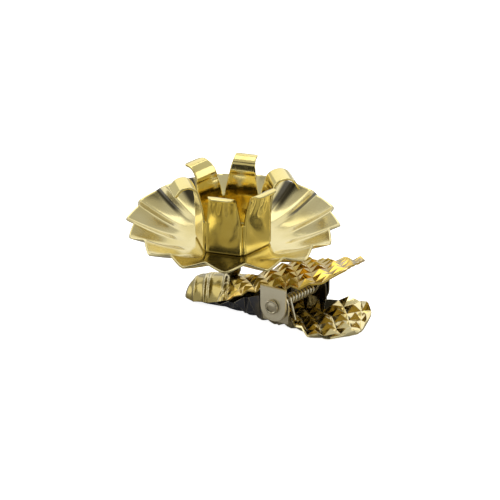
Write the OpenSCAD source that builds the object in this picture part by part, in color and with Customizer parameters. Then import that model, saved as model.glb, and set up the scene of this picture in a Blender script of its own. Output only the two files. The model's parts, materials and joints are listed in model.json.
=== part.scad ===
// Clip-on candle holder for a tree branch: a six-petal candle cup and a fluted drip dish stand on a
// ball joint, on top of a sprung clip with two pressed leaves.
// Origin: on the table, straight below the ball joint. +X points to the finger handles, +Y lies along
// the hinge pin and +Z is up. All sizes are in millimetres.

/* [Sheet] */
// Thickness of the pressed brass sheet
sheet_t = 0.4; // [0.3:0.05:0.5]

/* [Clip] */
// Height of the ridge of the upper leaf where the ball joint stands
ridge_z = 5.7; // [5.4:0.1:6]
// Height of the edges of the lower leaf's handle
tray_edge_z = 1.8; // [1.2:0.1:2.2]
// Half width of both handles at their widest
handle_half_w = 9.2; // [8.6:0.1:9.4]

/* [Hinge] */
// Distance of the hinge pin from the ball joint along the clip
pin_x = 14.7; // [14.6:0.05:14.8]
// Height of the hinge pin
pin_z = 4.5; // [4.4:0.05:4.6]
// Radius of the hinge pin
pin_r = 0.5; // [0.4:0.05:0.55]
// Radius of the pin's two formed heads
pin_head_r = 1.4; // [1.2:0.1:1.6]
// Radial running clearance of the pin in its four holes
pin_fit = 0.05; // [0.02:0.01:0.1]
// Outer half width over the outer ears
ear_half_w = 7.4; // [7.2:0.1:7.6]
// Radius of the round ends of the ears
ear_r = 2.9; // [2.7:0.1:2.9]

/* [Spring] */
// Diameter of the spring wire
wire_d = 0.5; // [0.4:0.05:0.5]
// Mean radius of the coil
coil_r = 0.85; // [0.84:0.01:0.95]
// Length of the coil along the pin
coil_len = 8.5; // [8:0.1:8.6]

/* [Ball joint] */
// Radius of the ball on top of the stud
ball_r = 1.1; // [1:0.05:1.2]
// Lean of the candle axis away from the vertical
lean = 10; // [0:1:12]
// Compass direction of the tilt axis, counted from +X
tilt_dir = 36; // [0:1:60]
// Distance from the ball's centre to the underside of the dish
neck_h = 6; // [5.8:0.1:6.6]

/* [Drip dish] */
// Radius to the tips of the rim's teeth
dish_r = 20.5; // [19:0.5:21]
// Depth from the rim to the flat centre
dish_depth = 4.5; // [4:0.5:6]
// Number of flutes
flutes = 16; // [12:1:20]
// Turn of the flutes about the candle axis
dish_turn = 9.5; // [0:0.5:22]
// Height of the zigzag at the rim
flute_h = 1.7; // [1:0.1:2]

/* [Candle cup] */
// Distance across the flats of the hexagonal cup, inside
cup_flats = 12.6; // [12:0.1:13]
// Height of the petals above the cup's floor
cup_h = 13.4; // [12:0.1:14]
// Height of the closed wall below the slots
wall_h = 7; // [6:0.5:8]
// Radius of the curled petal ends
curl_r = 2.1; // [1.6:0.1:2.4]
// Angle through which the petal ends curl
curl_bend = 110; // [90:5:140]
// Turn of the cup about the candle axis
cup_turn = -9; // [-30:1:30]

/* [Hidden] */
round_fn = 48;
small_fn = 32;
gap = 0.1;

// Upper leaf: distance along the clip, ridge height, edge height, half width
upper_at = [
    [-10, 1.2, 0.5, 1.6], [-9.5, 3, 0.5, 3], [-8.6, 4.1, 0.5, 4], [-6, 4.8, 0.5, 4.9],
    [-2, 5.5, 1.2, 5.2], [0, ridge_z, 1.7, 5.4], [3, ridge_z + 0.5, 2.9, 5.6],
    [5, ridge_z + 1.1, 4.2, 5.9], [7.4, 7.9, 5.7, 6.4], [9.6, 9, 7, 6.9],
    [11.8, 10, 8.2, ear_half_w - sheet_t / 2], [17.6, 10.9, 8.6, ear_half_w - sheet_t / 2],
    [19, 11.2, 9.6, handle_half_w - 0.6], [21.5, 11.7, 10.5, handle_half_w],
    [24.5, 12.3, 11.5, handle_half_w - 0.6], [26.5, 12.9, 12.3, 6.6], [28, 13.4, 13.1, 2.4]
];
// Lower leaf: distance along the clip, edge height, half width, share of the width that lies flat
lower_w = ear_half_w - 2 * sheet_t - gap;
floor_w = lower_w - 0.2;
lower_at = [
    [-9, 0.7, 1.4, 0.4], [-8, 0.8, 3, 0.4], [-6, 0.9, 4, 0.4], [-3, 1, 4.4, 0.4], [0, 1.4, 4.7, 0.4],
    [3, 2.1, 5, 0.45], [5, 3.1, 5.2, 0.5], [7.5, 4.5, 5.6, 0.6], [10, 5.2, floor_w - 0.1, 0.7],
    [11.4, 5.3, floor_w, 0.75], [11.7, 1.2, floor_w, 0.75], [17.7, 1.2, floor_w, 0.75],
    [18.8, 2, 7.4, 0.6], [20, tray_edge_z + 0.1, handle_half_w - 0.4, 0.4],
    [22, tray_edge_z, handle_half_w, 0.4], [24.5, tray_edge_z, handle_half_w - 0.3, 0.4],
    [27, tray_edge_z + 0.1, 7, 0.4], [28.6, tray_edge_z + 0.2, 4.4, 0.4], [29.3, tray_edge_z + 0.3, 1.5, 0.4]
];
// Columns across a leaf, as shares of its half width
half_cols = [0.25, 0.5, 0.7, 0.85, 0.93, 1];
cols_u = concat([for (i = [len(half_cols) - 1:-1:0]) -half_cols[i]], [0], half_cols);

ear_x0 = pin_x - ear_r;
ear_top_z = 8.4;
head_t = 0.6;

wire_r = wire_d / 2;
coil_y0 = -2.8;
coil_seg = 14;
coil_sides = 6;
foot_dir = 16;
arm_dir = -30;
coil_turns = 9;
coil_sweep = 360 * (coil_turns - 1) + 360 + arm_dir - foot_dir;
foot_len = 4.1;
arm_len = 6.9;

ball_lift = 1.2;
ball_z = ridge_z + sheet_t / 2 + ball_lift;
stud_r = 0.6;
stud_drop = 0.4;
stud_head_r = 1.2;
stud_head_t = 0.5;
socket_fit = 0.05;
socket_r = ball_r + 0.45;
socket_mouth = 68;
neck_r0 = 1.1;
neck_r1 = 1.6;
flange_r = 2.6;
flange_t = 0.5;
rivet_r = 0.8;
rivet_head_r = 1.6;
rivet_head_t = 0.6;
dish_z = neck_h;
cup_z = dish_z + sheet_t;
dish_rows = [rivet_r + 0.05, 5, 8, 9.6, 11.4, 13.4, 15.6, 17.8, dish_r];
dish_flat_r = 8;
flute_from_r = 8;
tooth_cut = 0.9;
flute_steps = 4;
cup_in_r = cup_flats / 2;
petal_lean = 0.7;
slot_w = 1;
petal_top_w = 5.3;
lip_len = 0.8;
foot_share = 0.7;
arc_steps = 8;

// ---- helpers ----

// Triangles of a closed sheet: point lists hold the upper grid first, then the lower grid
function grid_tris(rows, cols) = let (
    n = rows * cols,
    at = function(i, j) i * cols + j
) concat(
    [for (i = [0:rows - 2], j = [0:cols - 2]) each [
        [at(i, j), at(i + 1, j + 1), at(i + 1, j)], [at(i, j), at(i, j + 1), at(i + 1, j + 1)],
        [n + at(i, j), n + at(i + 1, j), n + at(i + 1, j + 1)],
        [n + at(i, j), n + at(i + 1, j + 1), n + at(i, j + 1)]]],
    [for (i = [0:rows - 2]) each [
        [at(i, 0), at(i + 1, 0), n + at(i + 1, 0)], [at(i, 0), n + at(i + 1, 0), n + at(i, 0)],
        [at(i, cols - 1), n + at(i + 1, cols - 1), at(i + 1, cols - 1)],
        [at(i, cols - 1), n + at(i, cols - 1), n + at(i + 1, cols - 1)]]],
    [for (j = [0:cols - 2]) each [
        [at(0, j), n + at(0, j + 1), at(0, j + 1)], [at(0, j), n + at(0, j), n + at(0, j + 1)],
        [at(rows - 1, j), at(rows - 1, j + 1), n + at(rows - 1, j + 1)],
        [at(rows - 1, j), n + at(rows - 1, j + 1), n + at(rows - 1, j)]]]
);

// A column of an upper leaf section: an arc through both edges and the ridge, at half thickness off
function arch_point(s, u, off) = let (
    sag = s[1] - s[2],
    r = (s[3] * s[3] + sag * sag) / (2 * sag),
    a = acos(1 - sag / r) * u
) [s[0], (r + off) * sin(a), s[1] - r + (r + off) * cos(a)];

// A column of a lower leaf section: flat on the table, then turned up to the edge
function tray_point(s, u, off) = let (
    rise = s[1] - sheet_t,
    v = max(0, (abs(u) - s[3]) / (1 - s[3])),
    slope = sign(u) * 2 * rise * v / (s[2] * (1 - s[3])),
    n = 1 / sqrt(1 + slope * slope)
) [s[0], s[2] * u - off * slope * n, sheet_t / 2 + rise * v * v + off * n];

// One point of the fluted dish at radius r and angle a
function dish_point(r, a, off) = let (
    rise = max(0, (r - dish_flat_r) / (dish_r - dish_flat_r)),
    fold = max(0, (r - flute_from_r) / (dish_r - flute_from_r)),
    wave = 1 - abs(1 - 2 * ((a * flutes / 360) % 1)),
    rr = r - tooth_cut * fold * wave
) [rr * cos(a), rr * sin(a), off + sheet_t / 2 + dish_depth * pow(rise, 1.5) + flute_h * fold * (wave - 0.5)];

module candle_pose() {
    translate([0, 0, ball_z])
        rotate(a = lean, v = [cos(tilt_dir), sin(tilt_dir), 0])
            children();
}

module across(y0, y1, r) {
    translate([pin_x, y0, pin_z])
        rotate([-90, 0, 0])
            cylinder(r = r, h = y1 - y0, $fn = small_fn);
}

// ---- clip ----

// Flat plate with a round end about the pin, hanging from or standing on a leaf
module ear(y0, z_end) {
    difference() {
        union() {
            across(y0, y0 + sheet_t, ear_r);
            translate([ear_x0, y0, min(pin_z, z_end)])
                cube([2 * ear_r, sheet_t, abs(z_end - pin_z)]);
        }
        across(y0 - 1, y0 + sheet_t + 1, pin_r + pin_fit);
    }
}

module upper_leaf() {
    color("goldenrod")
        union() {
            difference() {
                polyhedron(
                    concat([for (s = upper_at, u = cols_u) arch_point(s, u, sheet_t / 2)],
                           [for (s = upper_at, u = cols_u) arch_point(s, u, -sheet_t / 2)]),
                    grid_tris(len(upper_at), len(cols_u)));
                cylinder(r = stud_r + socket_fit, h = 2 * ridge_z, $fn = small_fn);
            }
            ear(-ear_half_w, ear_top_z);
            ear(ear_half_w - sheet_t, ear_top_z);
        }
}

module lower_leaf() {
    color("darkgoldenrod")
        union() {
            polyhedron(
                concat([for (s = lower_at, u = cols_u) tray_point(s, u, sheet_t / 2)],
                       [for (s = lower_at, u = cols_u) tray_point(s, u, -sheet_t / 2)]),
                grid_tris(len(lower_at), len(cols_u)));
            ear(-lower_w, sheet_t);
            ear(lower_w - sheet_t, sheet_t);
        }
}

module hinge_pin() {
    color("khaki")
        union() {
            across(-ear_half_w - gap, ear_half_w + gap, pin_r);
            across(-ear_half_w - gap - head_t, -ear_half_w - gap, pin_head_r);
            across(ear_half_w + gap, ear_half_w + gap + head_t, pin_head_r);
        }
}

// ---- spring ----

// Centre of the wire at share t of the coil, and the wire's outline round that centre
function coil_angle(t) = foot_dir + coil_sweep * t;
function coil_ring(t, run) = let (
    a = coil_angle(t),
    back = [-sin(a), 0, cos(a)] * run
) [for (k = [0:coil_sides - 1]) let (b = 360 * k / coil_sides, r = coil_r + wire_r * cos(b))
    [pin_x + r * cos(a), coil_y0 + coil_len * t + wire_r * sin(b), pin_z + r * sin(a)] + back];

module torsion_spring() {
    steps = ceil(coil_sweep / 360 * coil_seg);
    rings = concat([coil_ring(0, -foot_len)], [for (i = [0:steps]) coil_ring(i / steps, 0)],
                   [coil_ring(1, arm_len)]);
    last = len(rings) - 1;
    color("palegoldenrod")
        polyhedron([for (r = rings) each r], concat(
            [[for (k = [0:coil_sides - 1]) k]],
            [for (i = [0:last - 1], k = [0:coil_sides - 1]) let (m = (k + 1) % coil_sides) each [
                [i * coil_sides + k, (i + 1) * coil_sides + k, (i + 1) * coil_sides + m],
                [i * coil_sides + k, (i + 1) * coil_sides + m, i * coil_sides + m]]],
            [[for (k = [coil_sides - 1:-1:0]) last * coil_sides + k]]));
}

// ---- ball joint and candle holder ----

module ball_stud() {
    under_z = ridge_z - sheet_t / 2 - stud_drop;
    color("saddlebrown")
        union() {
            translate([0, 0, ball_z])
                sphere(r = ball_r, $fn = small_fn);
            translate([0, 0, under_z])
                cylinder(r = stud_r, h = ball_z - under_z, $fn = small_fn);
            translate([0, 0, under_z - stud_head_t])
                cylinder(r = stud_head_r, h = stud_head_t, $fn = small_fn);
        }
}

module neck() {
    color("palegoldenrod")
        candle_pose()
            difference() {
                union() {
                    sphere(r = socket_r, $fn = round_fn);
                    cylinder(r1 = neck_r0, r2 = neck_r1, h = neck_h, $fn = round_fn);
                    translate([0, 0, neck_h - flange_t])
                        cylinder(r = flange_r, h = flange_t, $fn = round_fn);
                }
                sphere(r = ball_r + socket_fit, $fn = round_fn);
                translate([0, 0, -2 * socket_r])
                    cylinder(r1 = 2 * socket_r * tan(socket_mouth), r2 = 0, h = 2 * socket_r, $fn = round_fn);
                cylinder(r = rivet_r + socket_fit, h = neck_h + 1, $fn = small_fn);
            }
}

module drip_dish() {
    cols = flutes * flute_steps;
    rows = len(dish_rows);
    n = rows * cols;
    pts = concat([for (r = dish_rows, j = [0:cols - 1]) dish_point(r, 360 * j / cols, sheet_t / 2)],
                 [for (r = dish_rows, j = [0:cols - 1]) dish_point(r, 360 * j / cols, -sheet_t / 2)]);
    color("gold")
        candle_pose()
            translate([0, 0, dish_z])
                rotate(dish_turn)
                    polyhedron(pts, concat(
                    [for (i = [0:rows - 2], j = [0:cols - 1]) let (m = (j + 1) % cols, a = i * cols, b = a + cols) each [
                        [a + j, a + m, b + m], [a + j, b + m, b + j],
                        [n + a + j, n + b + m, n + a + m], [n + a + j, n + b + j, n + b + m]]],
                    [for (j = [0:cols - 1]) let (m = (j + 1) % cols, b = n - cols) each [
                        [j, n + m, m], [j, n + j, n + m],
                        [b + j, b + m, n + b + m], [b + j, n + b + m, n + b + j]]]));
}

// Side view of one petal: a foot inside the closed wall, a lean and a curled end, as a line at offset off
function petal_line(off) = let (
    r0 = cup_in_r + sheet_t / 2,
    top_r = r0 + petal_lean,
    top_z = cup_h - sheet_t / 2 - curl_r
) concat(
    [[r0 - foot_share * off, wall_h - 1], [r0 - off, wall_h]],
    [for (i = [0:arc_steps]) let (a = 180 - curl_bend * i / arc_steps)
        [top_r + curl_r + (curl_r + off) * cos(a), top_z + (curl_r + off) * sin(a)]],
    [let (a = 180 - curl_bend)
        [top_r + curl_r + (curl_r + off) * cos(a) + lip_len * sin(a),
         top_z + (curl_r + off) * sin(a) - lip_len * cos(a)]]
);

module petal() {
    foot_half_w = (cup_in_r + sheet_t) * tan(30) - slot_w / 2;
    inner = petal_line(-sheet_t / 2);
    outer = petal_line(sheet_t / 2);
    last = len(inner) - 1;
    intersection() {
        rotate([90, 0, 0])
            linear_extrude(height = cup_flats, center = true)
                polygon(concat(outer, [for (i = [last:-1:0]) inner[i]]));
        rotate([90, 0, 90])
            linear_extrude(height = 2 * cup_flats)
                polygon([
                    [-foot_half_w, wall_h - 2], [foot_half_w, wall_h - 2],
                    [petal_top_w / 2, cup_h + 1], [-petal_top_w / 2, cup_h + 1]
                ]);
    }
}

module hex_bar(flats, h) {
    rotate(30)
        cylinder(d = flats / cos(30), h = h, $fn = 6);
}

module candle_cup() {
    color("gold")
        candle_pose()
            translate([0, 0, cup_z])
                rotate(cup_turn)
                    union() {
                        difference() {
                            hex_bar(cup_flats + 2 * sheet_t, wall_h);
                            translate([0, 0, sheet_t])
                                hex_bar(cup_flats, wall_h);
                            translate([0, 0, -1])
                                cylinder(r = rivet_r + socket_fit, h = 3, $fn = small_fn);
                        }
                        for (k = [0:5])
                            rotate(60 * k)
                                petal();
                    }
}

module centre_rivet() {
    foot = neck_h - flange_t - 1;
    color("khaki")
        candle_pose()
            union() {
                translate([0, 0, foot])
                    cylinder(r = rivet_r, h = cup_z + sheet_t - foot, $fn = small_fn);
                translate([0, 0, cup_z + sheet_t])
                    cylinder(r = rivet_head_r, h = rivet_head_t, $fn = small_fn);
            }
}

lower_leaf();
upper_leaf();
hinge_pin();
torsion_spring();
ball_stud();
neck();
drip_dish();
candle_cup();
centre_rivet();
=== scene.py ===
import json
import math
import bmesh
import bpy
from mathutils import Matrix, Vector


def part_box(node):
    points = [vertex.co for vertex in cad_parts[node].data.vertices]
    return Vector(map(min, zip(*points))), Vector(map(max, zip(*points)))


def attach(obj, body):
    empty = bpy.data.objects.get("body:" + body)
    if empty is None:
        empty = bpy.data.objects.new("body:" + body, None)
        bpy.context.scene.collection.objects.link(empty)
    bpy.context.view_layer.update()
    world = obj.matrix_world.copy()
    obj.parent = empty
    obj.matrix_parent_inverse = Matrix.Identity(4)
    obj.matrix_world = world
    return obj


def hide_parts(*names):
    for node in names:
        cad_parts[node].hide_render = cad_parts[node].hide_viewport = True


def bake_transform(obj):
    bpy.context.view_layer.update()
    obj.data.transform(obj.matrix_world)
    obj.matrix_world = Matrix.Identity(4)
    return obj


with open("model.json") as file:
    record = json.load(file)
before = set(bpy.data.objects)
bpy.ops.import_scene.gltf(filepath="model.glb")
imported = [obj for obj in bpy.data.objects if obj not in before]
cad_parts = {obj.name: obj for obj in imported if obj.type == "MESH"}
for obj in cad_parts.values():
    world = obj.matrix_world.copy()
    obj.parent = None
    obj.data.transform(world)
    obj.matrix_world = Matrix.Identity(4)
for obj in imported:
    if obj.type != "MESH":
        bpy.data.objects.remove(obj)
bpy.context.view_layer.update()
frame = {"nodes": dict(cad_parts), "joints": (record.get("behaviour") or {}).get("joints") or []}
mm = 0.001


class Level:
    # a shader value that takes part in ordinary arithmetic
    def __init__(self, finish, socket):
        self.finish = finish
        self.socket = socket

    def combine(self, operation, first, second):
        node = self.finish.node("ShaderNodeMath", {"operation": operation}, {0: first, 1: second})
        return Level(self.finish, node.outputs[0])

    def __add__(self, other):
        return self.combine("ADD", self, other)

    def __radd__(self, other):
        return self.combine("ADD", other, self)

    def __sub__(self, other):
        return self.combine("SUBTRACT", self, other)

    def __rsub__(self, other):
        return self.combine("SUBTRACT", other, self)

    def __mul__(self, other):
        return self.combine("MULTIPLY", self, other)

    def __rmul__(self, other):
        return self.combine("MULTIPLY", other, self)

    def __pow__(self, other):
        return self.combine("POWER", self, other)

    def size(self):
        return self.combine("ABSOLUTE", self, 0.0)

    def bearingFrom(self, other):
        return self.combine("ARCTAN2", self, other)


class Finish:
    # one procedural material on Object coordinates; node takes a type, its settings and its sockets
    def __init__(self, name):
        self.material = bpy.data.materials.new(name)
        self.material.use_nodes = True
        self.tree = self.material.node_tree
        self.shader = self.tree.nodes["Principled BSDF"]
        self.place = self.node("ShaderNodeTexCoord").outputs["Object"]
        self.parts = self.node("ShaderNodeSeparateXYZ", None, {"Vector": self.place})

    def feed(self, socket, value):
        if isinstance(value, Level):
            value = value.socket
        if isinstance(value, bpy.types.NodeSocket):
            self.tree.links.new(value, socket)
        else:
            socket.default_value = value

    def node(self, kind, settings=None, sockets=None):
        made = self.tree.nodes.new(kind)
        for key, value in (settings or {}).items():
            setattr(made, key, value)
        for key, value in (sockets or {}).items():
            self.feed(made.inputs[key], value)
        return made

    def noise(self, scale, stretch=(1, 1, 1), detail=3.0, turn=(0, 0, 0)):
        laid = self.node("ShaderNodeMapping", None,
                         {"Vector": self.place, "Scale": stretch, "Rotation": turn})
        made = self.node("ShaderNodeTexNoise", None,
                         {"Vector": laid.outputs[0], "Scale": scale, "Detail": detail})
        return Level(self, made.outputs[0])

    def along(self, axis):
        # distance along one axis of the piece, in millimetres
        return Level(self, self.parts.outputs[axis]) * (1 / mm)

    def window(self, value, low, high):
        # 0 below low, 1 above high, smooth between
        made = self.node("ShaderNodeMapRange", {"interpolation_type": "SMOOTHSTEP"},
                         {0: value, 1: low, 2: high, 3: 0.0, 4: 1.0})
        return Level(self, made.outputs[0])

    def mix(self, share, first, second):
        made = self.node("ShaderNodeMix", {"data_type": "RGBA"}, {0: share, 6: first, 7: second})
        return made.outputs[2]


def rgb(r, g, b):
    return (r, g, b, 1.0)


# wear and edge highlight that every brass piece shares: scales of the patterns, what each adds to the
# roughness, relief in millimetres, and the share and colour of the eased edges, painted paler as rubbed wear
# and a painted highlight
wear = {"dustScale": 5200.0, "hairScale": 900.0, "crossHairScale": 1100.0, "cloudRough": 0.03,
        "stainRough": 0.10, "dustRough": 0.10, "hairRelief": 0.002, "dustRelief": 0.003,
        "edgeWearAndSheenShare": 0.6, "edgeWearAndSheenColor": rgb(0.88, 0.80, 0.54)}


def makeBrass(name, look):
    f = Finish(name)
    zones = look.get("zones", lambda f: [])(f)
    cloud = f.window(f.noise(look["cloudScale"], detail=2.0), 0.35, 0.68)
    stain = f.window(f.noise(look["stainScale"], detail=5.0), 0.60, 0.78)
    dust = f.window(f.noise(wear["dustScale"], detail=1.0), 0.70, 0.80)
    hairs = f.noise(wear["hairScale"], stretch=(1, 9, 1), turn=(0, 0, 0.6))
    hairsAcross = f.noise(wear["crossHairScale"], stretch=(8, 1, 2), turn=(0.3, 0, -0.4))
    scratch = f.window(hairs * hairsAcross, 0.30, 0.42)
    color = f.mix(cloud, look["color"], look["cloudColor"])
    color = f.mix(stain * look["stainShare"], color, look["stainColor"])
    for share, tint, satin in zones:
        color = f.mix(share, color, tint)
    # painted highlight and rubbed wear: the eased edge faces are painted paler
    edge = f.node("ShaderNodeAttribute", {"attribute_name": "edgeWearAndSheen"})
    wearAndSheen = Level(f, edge.outputs["Fac"]) * look.get("edgeWearAndSheenShare", wear["edgeWearAndSheenShare"])
    color = f.mix(wearAndSheen, color, wear["edgeWearAndSheenColor"])
    f.feed(f.shader.inputs["Base Color"], color)
    rough = look["roughness"] + cloud * wear["cloudRough"] + stain * wear["stainRough"]
    rough = rough + scratch * look["hairShare"] + dust * wear["dustRough"]
    for share, tint, satin in zones:
        rough = rough + share * satin
    f.feed(f.shader.inputs["Roughness"], rough)
    f.shader.inputs["Metallic"].default_value = 1.0
    dents = f.noise(look["dentScale"], detail=1.5)
    relief = dents * look["dentDepth"] + scratch * wear["hairRelief"] + dust * wear["dustRelief"]
    bump = f.node("ShaderNodeBump", None, {"Strength": 1.0, "Distance": mm, "Height": relief})
    f.feed(f.shader.inputs["Normal"], bump.outputs[0])
    return f.material


# each zone is a share, a colour and what it adds to the roughness; pairs are fades in millimetres
leafFades = {"nose": (0.5, 3.5), "earFace": (6.9, 7.05), "earTop": (7.9, 8.5), "earBack": (11.2, 11.7),
             "earFront": (17.7, 18.2), "paintedShadeSide": (5.0, 5.6)}


def leafZones(f):
    # the nose is a duller olive, the folded ears stay pale and satin, and the far ear is painted dark as
    # painted shade
    nose = 1 - f.window(f.along("X"), *leafFades["nose"])
    face = f.window(f.along("Y").size(), *leafFades["earFace"])
    low = 1 - f.window(f.along("Z"), *leafFades["earTop"])
    ear = low * f.window(f.along("X"), *leafFades["earBack"])
    ear = ear * (1 - f.window(f.along("X"), *leafFades["earFront"]))
    farPaintedShade = f.window(f.along("Y"), *leafFades["paintedShadeSide"])
    return [(nose * 0.85, rgb(0.36, 0.30, 0.12), 0.03), (face * ear, rgb(0.95, 0.88, 0.66), 0.26),
            (farPaintedShade * ear, rgb(0.10, 0.08, 0.05), 0.0)]


trayFades = {"black": (11.5, 15.5), "brown": (19.0, 27.0), "wallFace": (5.7, 6.1),
             "wallBack": (11.3, 11.6), "wallFront": (17.6, 18.2), "paintedShadeSide": (5.0, 5.6),
             "patchScale": 300.0, "patchReach": 5}


def trayZones(f):
    # the lower leaf is almost black from the nose to the pin and turns gold towards the fingers; its far wall
    # is painted dark as painted shade
    uneven = f.along("X") + f.noise(trayFades["patchScale"], detail=2.0) * trayFades["patchReach"]
    black = 1 - f.window(uneven, *trayFades["black"])
    brown = 1 - f.window(uneven, *trayFades["brown"])
    wall = f.window(f.along("Y").size(), *trayFades["wallFace"])
    wall = wall * f.window(f.along("X"), *trayFades["wallBack"])
    wall = wall * (1 - f.window(f.along("X"), *trayFades["wallFront"]))
    # painted shade on the far wall
    farPaintedShade = wall * f.window(f.along("Y"), *trayFades["paintedShadeSide"])
    return [(brown * 0.8, rgb(0.27, 0.23, 0.145), 0.0), (black, rgb(0.11, 0.115, 0.14), 0.02),
            (wall, rgb(0.74, 0.67, 0.48), 0.20), (farPaintedShade, rgb(0.06, 0.05, 0.03), 0.0)]


def neckZones(f):
    # the neck is darker towards its foot, over the socket
    return [(1 - f.window(f.along("Z"), 8.6, 9.8), rgb(0.13, 0.11, 0.06), 0.0)]


# centre and front of the dish as it leans, in millimetres and as a direction, and the flute faces
# at its back that carry painted dark reflections: bearing and half width in degrees
dishFades = {"centre": (0.65, -0.9), "front": (0.588, -0.809), "ring": (7.2, 8.5), "ringFront": (3.0, 6.5),
             "outer": (11.5, 14.5), "paintedReflectionFaces": [(-31, 8.0), (-53, 4.0), (38, 7.5), (59, 3.5)]}


def dishZones(f):
    # painted shade: a dark ring where the front of the cup meets the dish, and painted dark reflections on a
    # few flute faces at the back
    centreX, centreY = dishFades["centre"]
    frontX, frontY = dishFades["front"]
    dx, dy = f.along("X") - centreX, f.along("Y") - centreY
    away = (dx * dx + dy * dy) ** 0.5
    forward = dx * frontX + dy * frontY
    side = dy * frontX - dx * frontY
    bearing = side.bearingFrom(0 - forward)
    ring = (1 - f.window(away, *dishFades["ring"])) * f.window(forward, *dishFades["ringFront"])
    outer = f.window(away, *dishFades["outer"])
    # painted shade ring around the front of the cup's foot
    zones = [(ring * 0.5, rgb(0.12, 0.09, 0.03), 0.1)]
    # painted dark reflections on a few flute faces at the back
    for middle, half in dishFades["paintedReflectionFaces"]:
        off = (bearing - math.radians(middle)).size()
        face = 1 - f.window(off, math.radians(half * 0.5), math.radians(half))
        zones.append((face * outer * 0.95, rgb(0.03, 0.025, 0.015), 0.04))
    return zones


cupBrass = makeBrass("cupBrass", {
    "color": rgb(0.82, 0.70, 0.29), "cloudColor": rgb(0.76, 0.62, 0.22),
    "stainColor": rgb(0.48, 0.36, 0.10), "stainShare": 0.35, "edgeWearAndSheenShare": 0.2,
    "cloudScale": 140.0, "stainScale": 420.0, "roughness": 0.09,
    "hairShare": 0.06, "dentScale": 260.0, "dentDepth": 0.030,
})
dishBrass = makeBrass("dishBrass", {
    "color": rgb(0.72, 0.63, 0.33), "cloudColor": rgb(0.63, 0.53, 0.23),
    "stainColor": rgb(0.55, 0.45, 0.20), "stainShare": 0.25, "edgeWearAndSheenShare": 0.2,
    "cloudScale": 110.0, "stainScale": 360.0, "roughness": 0.16,
    "hairShare": 0.05, "dentScale": 200.0, "dentDepth": 0.030,
    "zones": dishZones,
})
leafBrass = makeBrass("leafBrass", {
    "color": rgb(0.82, 0.60, 0.13), "cloudColor": rgb(0.74, 0.50, 0.08),
    "stainColor": rgb(0.36, 0.22, 0.06), "stainShare": 0.2,
    "cloudScale": 160.0, "stainScale": 500.0, "roughness": 0.09,
    "hairShare": 0.06, "dentScale": 420.0, "dentDepth": 0.020,
    "zones": leafZones,
})
trayBrass = makeBrass("trayBrass", {
    "color": rgb(0.84, 0.74, 0.40), "cloudColor": rgb(0.78, 0.64, 0.28),
    "stainColor": rgb(0.34, 0.24, 0.10), "stainShare": 0.2,
    "cloudScale": 160.0, "stainScale": 520.0, "roughness": 0.08,
    "hairShare": 0.06, "dentScale": 420.0, "dentDepth": 0.020,
    "zones": trayZones,
})
paleBrass = makeBrass("paleBrass", {
    "color": rgb(0.62, 0.56, 0.40), "cloudColor": rgb(0.54, 0.48, 0.32),
    "stainColor": rgb(0.32, 0.27, 0.16), "stainShare": 0.4,
    "cloudScale": 300.0, "stainScale": 900.0, "roughness": 0.20,
    "hairShare": 0.10, "dentScale": 900.0, "dentDepth": 0.010,
})
neckBrass = makeBrass("neckBrass", {
    "color": rgb(0.70, 0.62, 0.40), "cloudColor": rgb(0.62, 0.54, 0.32),
    "stainColor": rgb(0.32, 0.27, 0.16), "stainShare": 0.4,
    "cloudScale": 300.0, "stainScale": 900.0, "roughness": 0.16,
    "hairShare": 0.10, "dentScale": 900.0, "dentDepth": 0.010,
    "zones": neckZones,
})
darkBrass = makeBrass("darkBrass", {
    "color": rgb(0.16, 0.13, 0.08), "cloudColor": rgb(0.10, 0.08, 0.05),
    "stainColor": rgb(0.26, 0.20, 0.10), "stainShare": 0.4,
    "cloudScale": 400.0, "stainScale": 900.0, "roughness": 0.18,
    "hairShare": 0.10, "dentScale": 900.0, "dentDepth": 0.010,
})
springWire = makeBrass("springWire", {
    "color": rgb(0.97, 0.92, 0.72), "cloudColor": rgb(0.92, 0.85, 0.60),
    "stainColor": rgb(0.50, 0.42, 0.24), "stainShare": 0.4,
    "cloudScale": 500.0, "stainScale": 1200.0, "roughness": 0.34,
    "hairShare": 0.12, "dentScale": 1500.0, "dentDepth": 0.006,
})
print("finishes made")


def smoothSteps(share):
    # 0 to 1 with a slow start and a slow end
    share = min(1.0, max(0.0, share))
    return share * share * (3 - 2 * share)


def between(stations, x, column):
    # value of one column of a station list at x, straight between the two nearest stations
    if x <= stations[0][0]:
        return stations[0][column]
    for low, high in zip(stations, stations[1:]):
        if x <= high[0]:
            share = (x - low[0]) / (high[0] - low[0])
            return low[column] + (high[column] - low[column]) * share
    return stations[-1][column]


def softenEdges(bm, width, degrees):
    # eases the edges sharper than degrees and marks the new faces, which the finish paints paler as rubbed
    # wear and a painted highlight
    wearAndSheen = bm.faces.layers.float.new("edgeWearAndSheen")
    limit = math.radians(degrees)
    sharp = [e for e in bm.edges if len(e.link_faces) == 2 and e.calc_face_angle(0) > limit]
    made = bmesh.ops.bevel(bm, geom=sharp, offset=width, affect="EDGES", segments=1,
                           profile=0.5, material=-1, clamp_overlap=True)
    for face in made["faces"]:
        face[wearAndSheen] = 1.0


def finishPiece(bm, name, body, material, smoothUnder):
    # millimetres to metres, smooth shading under an angle, and one object that rides on its body
    bmesh.ops.recalc_face_normals(bm, faces=bm.faces)
    bmesh.ops.scale(bm, vec=(mm, mm, mm), verts=bm.verts)
    limit = math.radians(smoothUnder)
    for face in bm.faces:
        face.smooth = True
    for edge in bm.edges:
        edge.smooth = len(edge.link_faces) == 2 and edge.calc_face_angle(0) < limit
    mesh = bpy.data.meshes.new(name)
    bm.to_mesh(mesh)
    bm.free()
    piece = bpy.data.objects.new(name, mesh)
    bpy.context.scene.collection.objects.link(piece)
    mesh.materials.append(material)
    if body:
        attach(piece, body)
    return piece


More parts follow.
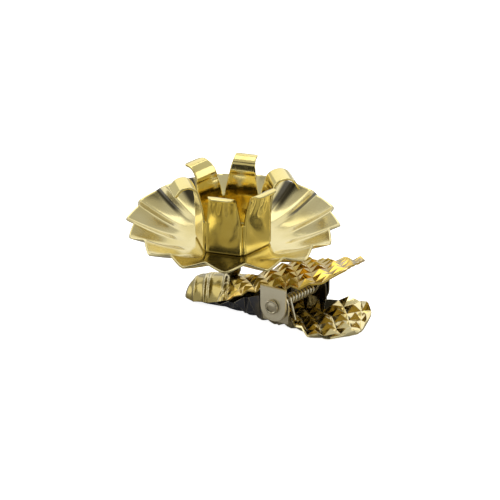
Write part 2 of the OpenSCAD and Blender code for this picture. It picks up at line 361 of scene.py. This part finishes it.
def lathe(bm, outline, steps):
    # outline is a list of (radius, height); the spin closes on itself
    points = [bm.verts.new((r, 0, z)) for r, z in outline]
    edges = [bm.edges.new(pair) for pair in zip(points, points[1:])]
    bmesh.ops.spin(bm, geom=points + edges, cent=(0, 0, 0), axis=(0, 0, 1), angle=math.tau,
                   steps=steps, use_merge=True)
    bmesh.ops.remove_doubles(bm, verts=bm.verts, dist=0.001)


def arc(cx, cz, r, start, end, steps):
    # points along an arc, from and to angles in degrees
    angles = [math.radians(start + (end - start) * i / steps) for i in range(steps + 1)]
    return [(cx + r * math.cos(a), cz + r * math.sin(a)) for a in angles]


def vertsOf(made):
    return [g for g in made if isinstance(g, bmesh.types.BMVert)]


def edgesOf(made):
    return [g for g in made if isinstance(g, bmesh.types.BMEdge)]


# places that several pieces share, in millimetres
rivet = {"shaft": 0.5, "head": 1.4, "rise": 0.6, "rim": 0.22, "clear": 0.1, "steps": 48, "shaftSteps": 40}
pinLow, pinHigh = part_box("hinge_pin")
pinX = (pinLow.x + pinHigh.x) / 2 / mm
pinZ = (pinLow.z + pinHigh.z) / 2 / mm
earOuter = pinHigh.y / mm - rivet["rise"] - rivet["clear"]
tiltJoint = next(j for j in frame["joints"] if j["name"] == "candle_tilt")
ballCentre = Vector(tiltJoint["pos_m"]) / mm
holder = {"lean": 10.0, "neckHeight": 6.0, "sheet": 0.4}
candlePose = (Matrix.Translation(ballCentre)
              @ Matrix.Rotation(math.radians(holder["lean"]), 4, Vector(tiltJoint["axis"])))


dish = {"rim": 20.5, "flat": 8.0, "depth": 4.5, "flutes": 16, "turn": 9.5, "foldHeight": 0.95,
        "toothCut": 1.6, "crispness": 0.985, "foldSteps": 14, "rings": 44, "hole": 0.9, "gap": 0.4}


def dishFold(a):
    # 0 on a tooth, 1 between two teeth, with slightly rounded creases
    k = dish["crispness"]
    low = math.acos(k)
    turn = math.cos(dish["flutes"] * (a - math.radians(dish["turn"])))
    return (math.acos(k * turn) - low) / (math.pi - 2 * low)


def makeDish():
    # a flat disc of rings, raised into flutes
    bm = bmesh.new()
    reach = dish["rim"] - dish["hole"]
    outline = [(dish["hole"] + reach * i / dish["rings"], 0) for i in range(dish["rings"] + 1)]
    lathe(bm, outline, dish["flutes"] * dish["foldSteps"])
    for v in bm.verts:
        r = math.hypot(v.co.x, v.co.y)
        a = math.atan2(v.co.y, v.co.x)
        rise = max(0.0, (r - dish["flat"]) / (dish["rim"] - dish["flat"]))
        fold = smoothSteps(rise * 2) * rise
        wave = dishFold(a)
        out = r - dish["toothCut"] * fold * wave
        height = dish["depth"] * rise ** 1.5 + dish["foldHeight"] * fold * (wave - 0.5)
        ripple = 0.05 * rise * math.sin(3 * a + 1.0) + 0.04 * math.sin(5 * a)
        height += holder["neckHeight"] + dish["gap"] + ripple * rise
        v.co = (out * math.cos(a), out * math.sin(a), height)
    bmesh.ops.recalc_face_normals(bm, faces=bm.faces)
    bmesh.ops.solidify(bm, geom=bm.faces[:], thickness=holder["sheet"])
    softenEdges(bm, 0.07, 50)
    bmesh.ops.transform(bm, matrix=candlePose, verts=bm.verts)
    piece = finishPiece(bm, "drip_dish_sheet", "candle_holder", dishBrass, 50)
    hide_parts("drip_dish")


makeDish()
print("drip dish made")


cup = {"insideFlats": 12.6, "wall": 6.3, "height": 13.4, "lean": 0.7, "turn": -9.0, "fillet": 0.6,
       "slot": 1.0, "corner": 0.45, "hole": 0.9, "rows": 92, "columns": 20}
# bend angle, bend radius, lip length, extra height, top width and depth of the flutes of each petal
petalBends = [(96, 1.5, 0.5, -0.7, 5.0, 0.13), (155, 2.3, 1.6, -0.9, 4.8, 0.0),
              (112, 2.5, 0.4, -0.4, 4.3, 0.0), (106, 2.6, 0.5, -0.6, 4.6, 0.0),
              (150, 2.0, 1.0, -0.4, 4.8, 0.0), (93, 1.4, 0.6, -0.8, 4.9, 0.14)]


def petalPlace(k, u, s, lift):
    # u runs across the petal from -1 to 1, s along it from the cup's centre in millimetres,
    # and lift is measured outwards from the outer face
    bend, bendRadius, lip, extra, topWidth, flute = petalBends[k]
    r0 = cup["insideFlats"] / 2 + holder["sheet"]
    fillet = cup["fillet"]
    floorEnd = r0 - fillet
    wallStart = floorEnd + fillet * math.pi / 2
    wallTop = cup["height"] + extra - bendRadius
    rise = wallTop - fillet
    total = wallStart + rise + bendRadius * math.radians(bend) + lip
    if s < floorEnd:
        r, z, way = s, 0.0, 0.0
    elif s < wallStart:
        way = (s - floorEnd) / fillet
        r, z = floorEnd + fillet * math.sin(way), fillet * (1 - math.cos(way))
    elif s < wallStart + rise:
        z = fillet + s - wallStart
        share = max(0.0, (z - cup["wall"]) / (wallTop - cup["wall"]))
        r, way = r0 + cup["lean"] * share * share, math.pi / 2
    else:
        a = (s - wallStart - rise) / bendRadius
        end = math.radians(bend)
        over = max(0.0, a - end) * bendRadius
        a = min(a, end)
        r = r0 + cup["lean"] + bendRadius * (1 - math.cos(a)) + over * math.sin(end)
        z = wallTop + bendRadius * math.sin(a) + over * math.cos(end)
        way = math.pi / 2 - a
    r += lift * math.sin(way)
    z -= lift * math.cos(way)
    slope = math.tan(math.radians(30))
    high = s - (wallStart + cup["wall"] - fillet)
    if high > 0:
        share = min(1.0, high / (cup["height"] - cup["wall"]))
        half = r0 * slope - cup["slot"] / 2
        side = half + (topWidth / 2 - half) * share
        left = total - s
        if left < 1.0:
            side -= 1.0 - math.sqrt(max(0.0, 1.0 - (1.0 - left) ** 2))
        flute *= smoothSteps(high / 4.0) * smoothSteps((left - 0.5) / 2.5)
        r += flute * math.cos(6.4 * u + 0.5 * math.sin(k + s)) * (1 - u * u)
    else:
        if s > floorEnd:
            near = max(0.0, abs(u) - 0.82) / 0.18
            r -= cup["corner"] * near * near
        side = r * slope
    return total, Vector((r, side * u, z))


def makeCup():
    bm = bmesh.new()
    inside = bm.verts.layers.float_vector.new("inside")
    for k in range(6):
        total = petalPlace(k, 0.0, 1.0, 0.0)[0]
        made = bmesh.ops.create_grid(bm, x_segments=cup["rows"], y_segments=cup["columns"], size=0.5)
        turn = Matrix.Rotation(math.radians(cup["turn"] + 60 * k), 4, "Z")
        for v in made["verts"]:
            s, u = cup["hole"] + (v.co.x + 0.5) * (total - cup["hole"]), v.co.y * 2
            v[inside] = turn @ petalPlace(k, u, s, -holder["sheet"])[1]
            v.co = turn @ petalPlace(k, u, s, 0.0)[1]
    bmesh.ops.remove_doubles(bm, verts=bm.verts, dist=0.004)
    under = bmesh.ops.extrude_face_region(bm, geom=bm.faces[:])["geom"]
    for v in vertsOf(under):
        v.co = v[inside]
    bm.verts.layers.float_vector.remove(inside)
    bmesh.ops.recalc_face_normals(bm, faces=bm.faces)
    softenEdges(bm, 0.06, 55)
    lift = Matrix.Translation((0, 0, holder["neckHeight"] + holder["sheet"]))
    bmesh.ops.transform(bm, matrix=candlePose @ lift, verts=bm.verts)
    piece = finishPiece(bm, "candle_cup_sheet", "candle_holder", cupBrass, 50)
    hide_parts("candle_cup")


makeCup()
print("candle cup made")


neck = {"socket": 1.55, "hollow": 1.18, "mouth": -55, "bore": 1.0, "collar": 2.62, "steps": 56,
        "taper": [(1.02, 1.35), (1.06, 1.7), (1.2, 2.6), (1.38, 3.8), (1.52, 4.8)]}


def makeNeck():
    # up the outside of the socket, the taper and the collar, then down the bore and the hollow
    bm = bmesh.new()
    top, collar, mouth = holder["neckHeight"], neck["collar"], neck["mouth"]
    outline = arc(0, 0, neck["socket"], mouth, 42, 14) + neck["taper"]
    outline += arc(2.0, 4.95, 0.45, 180, 90, 5) + [(collar - 0.12, 5.42), (collar, 5.52)]
    outline += [(collar, top - 0.1), (collar - 0.12, top), (neck["bore"], top), (neck["bore"] - 0.05, 1.2)]
    outline += arc(0, 0, neck["hollow"], 70, mouth, 12) + outline[:1]
    lathe(bm, outline, neck["steps"])
    bmesh.ops.transform(bm, matrix=candlePose, verts=bm.verts)
    piece = finishPiece(bm, "neck_ferrule", "candle_holder", neckBrass, 40)
    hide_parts("neck")


def headOutline(radius, base, height):
    # a formed rivet head: flat underside, rounded rim, sunk ring and a low crown
    rim = rivet["rim"]
    outline = [(0, base), (radius - 0.05, base), (radius, base + 0.1)]
    outline += arc(radius - rim, base + height - rim, rim, 0, 100, 6)
    outline += [(radius * 0.70, base + height - 0.14), (radius * 0.62, base + height - 0.13),
                (radius * 0.50, base + height - 0.03), (radius * 0.25, base + height + 0.02),
                (0, base + height + 0.03)]
    return outline


def makeHingePin():
    bm = bmesh.new()
    reach = earOuter + rivet["clear"]
    lathe(bm, headOutline(rivet["head"], reach, rivet["rise"]), rivet["steps"])
    farHead = bmesh.ops.duplicate(bm, geom=bm.verts[:] + bm.edges[:] + bm.faces[:])["geom"]
    bmesh.ops.rotate(bm, cent=(0, 0, 0), matrix=Matrix.Rotation(math.pi, 3, "X"), verts=vertsOf(farHead))
    bmesh.ops.create_cone(bm, cap_ends=True, segments=rivet["shaftSteps"], radius1=rivet["shaft"],
                          radius2=rivet["shaft"], depth=2 * reach)
    along = Matrix.Translation((pinX, 0, pinZ)) @ Matrix.Rotation(math.radians(90), 4, "X")
    bmesh.ops.transform(bm, matrix=along, verts=bm.verts)
    piece = finishPiece(bm, "hinge_rivet", "lower_jaw", paleBrass, 40)
    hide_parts("hinge_pin")


makeNeck()
makeHingePin()
for name, material in (("ball_stud", darkBrass), ("centre_rivet", paleBrass)):
    frame["nodes"][name].data.materials.clear()
    frame["nodes"][name].data.materials.append(material)
print("neck and rivets made")


spring = {"wire": 0.5, "radius": 0.85, "start": -2.8, "length": 8.5, "turns": 9, "footDir": 16,
          "armDir": -30, "foot": 4.0, "arm": 6.7, "sides": 10, "stepsPerTurn": 26}


def extrudeRing(bm, edges, move):
    made = bmesh.ops.extrude_edge_only(bm, edges=edges)["geom"]
    bmesh.ops.translate(bm, vec=move, verts=vertsOf(made))
    return edgesOf(made)


def makeSpring():
    bm = bmesh.new()
    sweep = spring["turns"] * 360 + spring["armDir"] - spring["footDir"]
    steps = round(sweep / 360 * spring["stepsPerTurn"])
    ring = bmesh.ops.create_circle(bm, segments=spring["sides"], radius=spring["wire"] / 2)["verts"]
    start = math.radians(spring["footDir"])
    # the circle's plane holds the coil's axis and its radius at the start
    stand = Matrix.Rotation(-start, 4, "Y") @ Matrix.Translation((spring["radius"], 0, 0))
    bmesh.ops.transform(bm, matrix=Matrix.Translation((pinX, spring["start"], pinZ)) @ stand, verts=ring)
    edges = list({e for v in ring for e in v.link_edges})
    made = bmesh.ops.spin(bm, geom=ring + edges, cent=(pinX, 0, pinZ), axis=(0, -1, 0),
                          dvec=(0, spring["length"] / steps, 0), angle=math.radians(sweep), steps=steps)
    last = edgesOf(made["geom_last"])
    foot = Vector((math.sin(start), 0, -math.cos(start)))
    end = math.radians(spring["armDir"])
    arm = Vector((-math.sin(end), 0, math.cos(end)))
    for first, way, reach in ((edges, foot, spring["foot"]), (last, arm, spring["arm"])):
        ends = first
        for share in (0.3, 0.4, 0.3):
            ends = extrudeRing(bm, ends, way * reach * share)
        bmesh.ops.contextual_create(bm, geom=ends)
    piece = finishPiece(bm, "spring_coil", None, springWire, 60)
    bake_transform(piece)
    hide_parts("torsion_spring")


makeSpring()
print("spring made")


ear = {"radius": 2.9, "sheet": 0.4, "inset": 0.9, "upperEnd": 9.1, "upperSkew": 0.7, "lowerEnd": 1.3,
       "steps": 24}
# distance along the clip, ridge height, edge height, half width
upperAt = [(-10, 1.2, 0.5, 1.6), (-9.7, 2.3, 0.5, 2.5), (-9.2, 3.3, 0.5, 3.4), (-8.4, 4.1, 0.5, 4.1),
           (-6, 4.8, 0.5, 4.9), (-2, 5.5, 1.2, 5.2), (0, 5.7, 1.8, 5.4), (3, 6.2, 2.9, 5.6),
           (5, 6.8, 4.2, 5.9), (7.4, 7.9, 5.9, 6.4), (9.6, 9.0, 7.3, 6.9), (11.8, 10.0, 8.3, 7.25),
           (14, 10.6, 9.0, 7.3), (16.5, 10.9, 9.5, 7.3), (18, 11.1, 9.8, 8.2), (20, 11.4, 10.3, 9.0),
           (22, 11.8, 10.8, 9.2), (24.3, 12.2, 11.4, 8.4), (25.9, 12.7, 12.1, 7.0),
           (26.9, 13.0, 12.7, 5.0), (27.5, 13.2, 13.0, 2.6)]
# distance along the clip, edge height, half width, share that lies flat
lowerAt = [(-9.2, 0.7, 1.4, 0.4), (-8.8, 0.8, 2.4, 0.4), (-8, 0.8, 3.3, 0.4), (-6, 0.9, 4.1, 0.4),
           (-3, 1, 4.5, 0.4), (0, 1.4, 4.7, 0.4), (3, 2.1, 5, 0.5), (5, 3.1, 5.2, 0.55),
           (7.5, 4.5, 5.6, 0.65), (10, 5.2, 6.1, 0.75), (11.4, 5.3, 6.2, 0.8), (11.8, 3.2, 6.2, 0.8),
           (17.4, 2.6, 6.2, 0.8), (18.4, 2.3, 6.7, 0.6), (20, 1.9, 7.4, 0.4), (22, 1.6, 8.4, 0.4),
           (24, 1.3, 9.0, 0.4), (26, 1.1, 8.4, 0.4), (27.5, 1.1, 6.9, 0.4), (28.6, 1.2, 4.9, 0.4),
           (29.2, 1.2, 2.9, 0.4), (29.5, 1.2, 1.2, 0.4)]
# ribs slant back from the ridge: distance along the ridge and height of each
upper = {"ribAt": [(-8.9, 0.22), (-6.4, 0.30), (-5.3, 0.26), (-1.7, 0.34), (-0.5, 0.34)],
         "ribWidth": 0.42, "ribSlant": 0.62, "ribsEnd": 4.5, "noseRows": 26, "facetFrom": 0.6,
         "facetTo": 27.5, "facetRows": 14, "across": 8, "facetHeight": 0.85, "roll": 0.12,
         "rollFrom": 4, "rollBack": 0.08, "rollBackFrom": 13, "rollReach": 7}
lower = {"facetFrom": -9.2, "facetTo": 29.4, "facetRows": 20, "across": 8, "facetHeight": 0.85,
         "roll": 0.09, "rollFrom": 17, "rollReach": 5}
creaseCuts = 3


def latticeSheet(xs, across, heightOf):
    # a flat lattice of x, share of the half width and relief, split along the facets' creases
    bm = bmesh.new()
    bmesh.ops.create_grid(bm, x_segments=len(xs) - 1, y_segments=across, size=0.5)
    for v in bm.verts:
        i = round((v.co.x + 0.5) * (len(xs) - 1))
        j = round((v.co.y + 0.5) * across)
        v.co = (xs[i], 2 * j / across - 1, heightOf(i, j))
    for face in bm.faces[:]:
        middle = sum(v.co.z for v in face.verts) / 4
        low = [v for v in face.verts if v.co.z < middle - 0.001]
        if len(low) == 2 and not any(low[0] in e.verts and low[1] in e.verts for e in face.edges):
            bmesh.ops.connect_verts(bm, verts=low)
    bmesh.ops.triangulate(bm, faces=bm.faces[:])
    bmesh.ops.subdivide_edges(bm, edges=bm.edges[:], cuts=creaseCuts, use_grid_fill=True)
    # the underside keeps the same relief, one sheet's thickness below
    under = bmesh.ops.extrude_face_region(bm, geom=bm.faces[:])["geom"]
    bmesh.ops.translate(bm, vec=(0, 0, -holder["sheet"]), verts=vertsOf(under))
    return bm


def upperPlace(x, u, lift):
    # a crown of even curvature from edge to edge, with the ribs of the nose on it
    ridge, edge, half = (between(upperAt, x, c) for c in (1, 2, 3))
    sag = max(0.05, ridge - edge)
    r = (half * half + sag * sag) / (2 * sag)
    a = math.acos(1 - sag / r) * u
    for place, height in upper["ribAt"]:
        away = (x - upper["ribSlant"] * abs(r * math.sin(a)) - place) / upper["ribWidth"]
        lift += height * math.exp(-away * away) * smoothSteps((upper["ribsEnd"] - x) / 3)
    y = (r + lift) * math.sin(a)
    # squeezed by hand, the handle has taken a slight roll
    roll = upper["roll"] * smoothSteps((x - upper["rollFrom"]) / upper["rollReach"])
    roll -= upper["rollBack"] * smoothSteps((x - upper["rollBackFrom"]) / upper["rollReach"])
    return Vector((x, y, ridge - r + (r + lift) * math.cos(a) + y * roll))


def lowerPlace(x, u, lift):
    # a tray: flat in the middle, rising to its edges
    edge, half, flat = (between(lowerAt, x, c) for c in (1, 2, 3))
    rise = edge - holder["sheet"]
    v = max(0.0, (abs(u) - flat) / (1 - flat))
    slope = math.copysign(2 * rise * v / (half * (1 - flat)), u)
    n = 1 / math.sqrt(1 + slope * slope)
    roll = lower["roll"] * (half * u + 0.8 * half) * smoothSteps((x - lower["rollFrom"]) / lower["rollReach"])
    return Vector((x, half * u - lift * slope * n, holder["sheet"] + rise * v * v + lift * n + roll))


def addPlate(bm, side, outer, endZ):
    # an ear: round about the pin and square where it meets its leaf at endZ
    inner = outer - ear["sheet"]
    away = 1 if endZ > pinZ else -1
    outline = arc(pinX, pinZ, ear["radius"], 0, -180 * away, ear["steps"])
    outline += [(pinX - ear["radius"], endZ), (pinX + ear["radius"], endZ)]
    points = [bm.verts.new((x, side * inner, z)) for x, z in outline]
    face = bm.faces.new(points)
    made = bmesh.ops.extrude_face_region(bm, geom=[face])["geom"]
    bmesh.ops.translate(bm, vec=(0, side * (outer - inner), 0), verts=vertsOf(made))


def makeUpperLeaf():
    nose = upper["noseRows"]
    start = upperAt[0][0]
    step = (upper["facetTo"] - upper["facetFrom"]) / upper["facetRows"]
    facets = [upper["facetFrom"] + step * i for i in range(upper["facetRows"] + 1)]
    xs = [start + (upper["facetFrom"] - start) * i / nose for i in range(nose)] + facets

    def heightOf(i, j):
        if i < nose:
            return 0.0
        k = i - nose
        grow = min(1.0, 0.35 + k / 6) * min(1.0, (upper["facetRows"] - k) / 2 + 0.2)
        return upper["facetHeight"] * grow * (0.5 if (k + j) % 2 == 0 else -0.5)

    bm = latticeSheet(xs, upper["across"], heightOf)
    for v in bm.verts:
        v.co = upperPlace(*v.co)
    for side in (-1, 1):
        addPlate(bm, side, earOuter, ear["upperEnd"] + ear["upperSkew"] * side)
    softenEdges(bm, 0.06, 16)
    piece = finishPiece(bm, "upper_leaf_sheet", "upper_jaw", leafBrass, 11)
    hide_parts("upper_leaf")


def makeLowerLeaf():
    step = (lower["facetTo"] - lower["facetFrom"]) / lower["facetRows"]
    xs = [lower["facetFrom"] + step * i for i in range(lower["facetRows"] + 1)]

    def heightOf(i, j):
        raised = (i + j) % 2 == 0
        grow = min(1.0, 0.3 + i / 8) * min(1.0, (lower["facetRows"] - i) / 2 + 0.1)
        return lower["facetHeight"] * grow if raised else 0.0

    bm = latticeSheet(xs, lower["across"], heightOf)
    for v in bm.verts:
        v.co = lowerPlace(*v.co)
    for side in (-1, 1):
        addPlate(bm, side, earOuter - ear["inset"], ear["lowerEnd"])
    softenEdges(bm, 0.06, 16)
    piece = finishPiece(bm, "lower_leaf_sheet", "lower_jaw", trayBrass, 11)
    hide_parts("lower_leaf")


makeUpperLeaf()
makeLowerLeaf()
print("leaves made")


# millimetres and degrees, as everywhere; cards are what the brass reflects
view = {"azimuth": 36.0, "elevation": 18.0, "distance": 420.0, "target": (3.65, 0.54, 11.45),
        "lens": 157.248, "sensor": 36.0}
stage = {"floor": (6000, 6000), "floorDrop": 0.02, "underCard": (700, 700), "underDrop": 0.01,
         "cardAim": (0, 0, 20), "room": 0.62}
lights = [("topSoftbox", (320, 320), (-120, 120, 520), 0.42),
          ("backSoftbox", (1000, 380), (-330, 460, 400), 0.7),
          ("leftSoftbox", (260, 380), (-480, -160, 230), 0.30),
          ("rightSoftbox", (260, 380), (420, 330, 260), 0.34),
          ("frontFill", (110, 110), (330, -190, 330), 0.12)]


def flatPiece(name, size, place, aim, material):
    # the floor or a card, facing its aim
    bm = bmesh.new()
    bmesh.ops.create_grid(bm, x_segments=1, y_segments=1, size=0.5)
    bmesh.ops.scale(bm, vec=(size[0] * mm, size[1] * mm, 1), verts=bm.verts)
    mesh = bpy.data.meshes.new(name)
    bm.to_mesh(mesh)
    bm.free()
    made = bpy.data.objects.new(name, mesh)
    bpy.context.scene.collection.objects.link(made)
    made.location = Vector(place) * mm
    if aim is not None:
        made.rotation_euler = (Vector(aim) * mm - made.location).to_track_quat("Z", "Y").to_euler()
    mesh.materials.append(material)
    return made


def plainFinish(name, color, roughness, glow=0.0):
    f = Finish(name)
    f.shader.inputs["Base Color"].default_value = color
    f.shader.inputs["Roughness"].default_value = roughness
    f.shader.inputs["Emission Color"].default_value = color
    f.shader.inputs["Emission Strength"].default_value = glow
    return f.material


def areaLight(name, size, place, power):
    data = bpy.data.lights.new(name, "AREA")
    data.shape = "RECTANGLE"
    data.size, data.size_y = size[0] * mm, size[1] * mm
    data.energy = power
    made = bpy.data.objects.new(name, data)
    bpy.context.scene.collection.objects.link(made)
    made.location = Vector(place) * mm
    made.rotation_euler = (Vector(view["target"]) * mm - made.location).to_track_quat("-Z", "Y").to_euler()


def makeStage():
    floorFinish = plainFinish("paleFloor", rgb(0.95, 0.95, 0.95), 0.7, 0.9)
    flatPiece("floor", stage["floor"], (0, 0, -stage["floorDrop"]), None, floorFinish)
    black = plainFinish("blackCard", rgb(0.01, 0.01, 0.01), 0.9)
    grey = plainFinish("greyCard", rgb(0.36, 0.35, 0.33), 0.9, 0.15)
    frontCard = flatPiece("frontCard", (640, 460), (290, -400, 215), stage["cardAim"], black)
    underCard = flatPiece("underCard", stage["underCard"], (0, 0, -stage["underDrop"]), None, grey)
    highCard = flatPiece("highCard", (420, 60), (120, -120, 430), stage["cardAim"], black)
    for made in (frontCard, underCard, highCard):
        made.visible_camera = False
        made.visible_diffuse = False
        made.visible_shadow = False
    for light in lights:
        areaLight(*light)
    world = bpy.data.worlds.new("paleRoom")
    bpy.context.scene.world = world
    world.use_nodes = True
    world.node_tree.nodes["Background"].inputs[0].default_value = (1, 1, 1, 1)
    world.node_tree.nodes["Background"].inputs[1].default_value = stage["room"]


def makeCamera():
    data = bpy.data.cameras.new("camera")
    data.sensor_width = view["sensor"]
    data.lens = view["lens"]
    data.clip_start = 0.01
    data.clip_end = 20
    camera = bpy.data.objects.new("camera", data)
    bpy.context.scene.collection.objects.link(camera)
    az, el = math.radians(view["azimuth"]), math.radians(view["elevation"])
    way = Vector((math.sin(az) * math.cos(el), -math.cos(az) * math.cos(el), math.sin(el)))
    camera.location = (Vector(view["target"]) + way * view["distance"]) * mm
    camera.rotation_euler = way.to_track_quat("Z", "Y").to_euler()
    bpy.context.scene.camera = camera


makeStage()
makeCamera()
bpy.context.scene.view_settings.view_transform = "Standard"
print("stage made")
